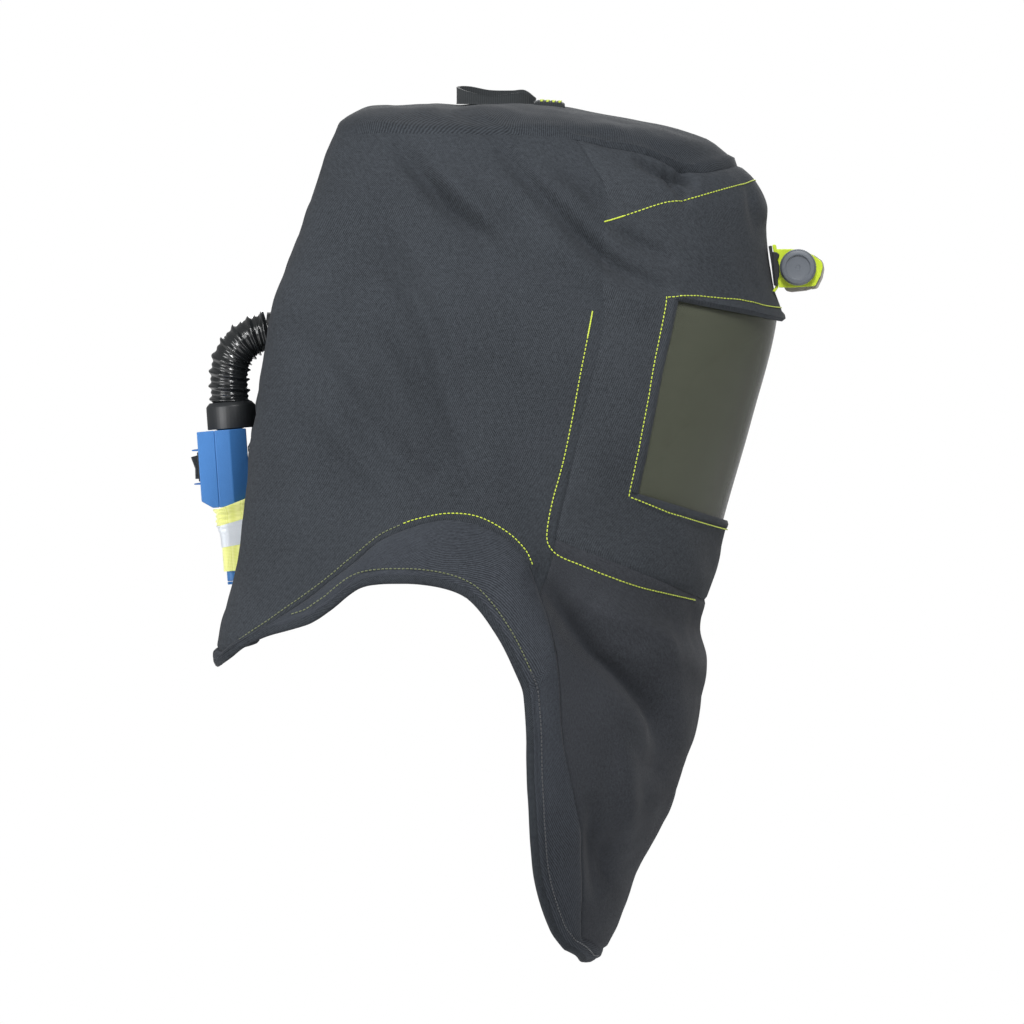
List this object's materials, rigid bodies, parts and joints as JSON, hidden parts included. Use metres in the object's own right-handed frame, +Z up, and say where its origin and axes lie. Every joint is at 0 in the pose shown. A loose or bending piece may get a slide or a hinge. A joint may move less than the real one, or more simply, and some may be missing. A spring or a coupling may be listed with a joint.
{
  "type": "powered air respirator hood",
  "caption": "Fabric hood with a tinted window, hard cap and suspension, headlamp, and a clip-on blower feeding air through a corrugated hose.",
  "frame": {"origin": "top of the wearer's head, at the middle of the crown suspension", "axes": "+Z up, front (window) towards -Y, wearer's left towards +X"},
  "size_m": [0.3398, 0.4742, 0.6561],
  "materials": {
    "fabric": "dark grey aramid twill with lime topstitching",
    "webbing": "woven webbing",
    "window": "tinted polycarbonate",
    "black_plastic": "moulded, fine grain",
    "grey_plastic": "moulded, satin",
    "lime_plastic": "moulded, satin",
    "clear_plastic": "clear, polished",
    "reflector": "metallised",
    "blue_plastic": "moulded, satin",
    "rubber": "glossy corrugated",
    "reflective_fabric": "fluorescent yellow with a silver reflective stripe",
    "white_plastic": "moulded",
    "foam": "brushed foam",
    "steel": "plated",
    "circuit_board": "solder mask"
  },
  "bodies": {
    "hood": {"crown_panel": "fabric", "brow_panel": "fabric", "cheek_panel_right": "fabric", "cheek_panel_left": "fabric", "chin_panel": "fabric", "bib_panel": "fabric", "side_panel_right": "fabric", "side_panel_left": "fabric", "back_panel": "fabric", "shoulder_band_right": "fabric", "shoulder_band_left": "fabric", "hanging_loop": "webbing", "loop_patch": "webbing", "crown_strap_long": "webbing", "crown_strap_cross": "webbing", "clip_loop": "webbing", "face_lens": "window", "lens_rail": "black_plastic", "lens_arm_right": "black_plastic", "lens_arm_left": "black_plastic", "arm_stud_right": "black_plastic", "arm_stud_left": "black_plastic", "cap_shell": "black_plastic", "cap_peak": "black_plastic", "ratchet_housing": "black_plastic", "lamp_bracket": "black_plastic", "hood_inlet": "black_plastic", "inlet_nut": "black_plastic", "air_duct": "black_plastic", "outlet_spigot": "black_plastic", "switch_frame": "black_plastic", "lamp_yoke": "lime_plastic", "housing_front": "blue_plastic", "housing_rear": "blue_plastic", "filter_case": "blue_plastic", "intake_grille": "blue_plastic", "breathing_hose": "rubber", "hose_cuff": "rubber", "hivis_sleeve": "reflective_fabric", "headband": "white_plastic", "particle_filter": "white_plastic", "brow_pad": "foam", "fan_motor": "steel", "battery_cell_right": "steel", "battery_cell_left": "steel", "clip_pin": "steel", "control_board": "circuit_board"},
    "lamp_head": {"lamp_head": "grey_plastic", "lamp_bezel": "grey_plastic", "lamp_glass": "clear_plastic", "lamp_reflector_right": "reflector", "lamp_reflector_left": "reflector", "lamp_end_cap": "grey_plastic"},
    "lamp_knob": {"lamp_knob": "grey_plastic"},
    "rocker": {"rocker_switch": "black_plastic"},
    "fan": {"impeller": "white_plastic"},
    "clip": {"belt_clip": "black_plastic"},
    "ratchet": {"ratchet_knob": "black_plastic"}
  },
  "joints": [
    {"name": "lamp_tilt", "type": "hinge", "parent": "hood", "child": "lamp_head", "pos_m": [0, -0.231, -0.079], "axis": [1, 0, 0], "range_deg": [-15, 30]},
    {"name": "lamp_knob_turn", "type": "hinge", "parent": "lamp_head", "child": "lamp_knob", "pos_m": [-0.0293, -0.231, -0.079], "axis": [-1, 0, 0], "range_deg": [0, 90]},
    {"name": "rocker_press", "type": "hinge", "parent": "hood", "child": "rocker", "pos_m": [0, 0.21506, -0.2285], "axis": [1, 0, 0], "range_deg": [0, 12]},
    {"name": "fan_spin", "type": "hinge", "parent": "hood", "child": "fan", "pos_m": [0, 0.1985, -0.20084], "axis": [0, 0.0715, 0.9974], "continuous": true},
    {"name": "clip_flex", "type": "hinge", "parent": "hood", "child": "clip", "pos_m": [0, 0.17977, -0.21454], "axis": [-1, 0, 0], "range_deg": [0, 8], "stiffness_Nm_per_rad": 0.6, "springref_deg": -2.86},
    {"name": "ratchet_turn", "type": "hinge", "parent": "hood", "child": "ratchet", "pos_m": [0, 0.1092, -0.081], "axis": [0, 1, 0], "continuous": true}
  ]
}
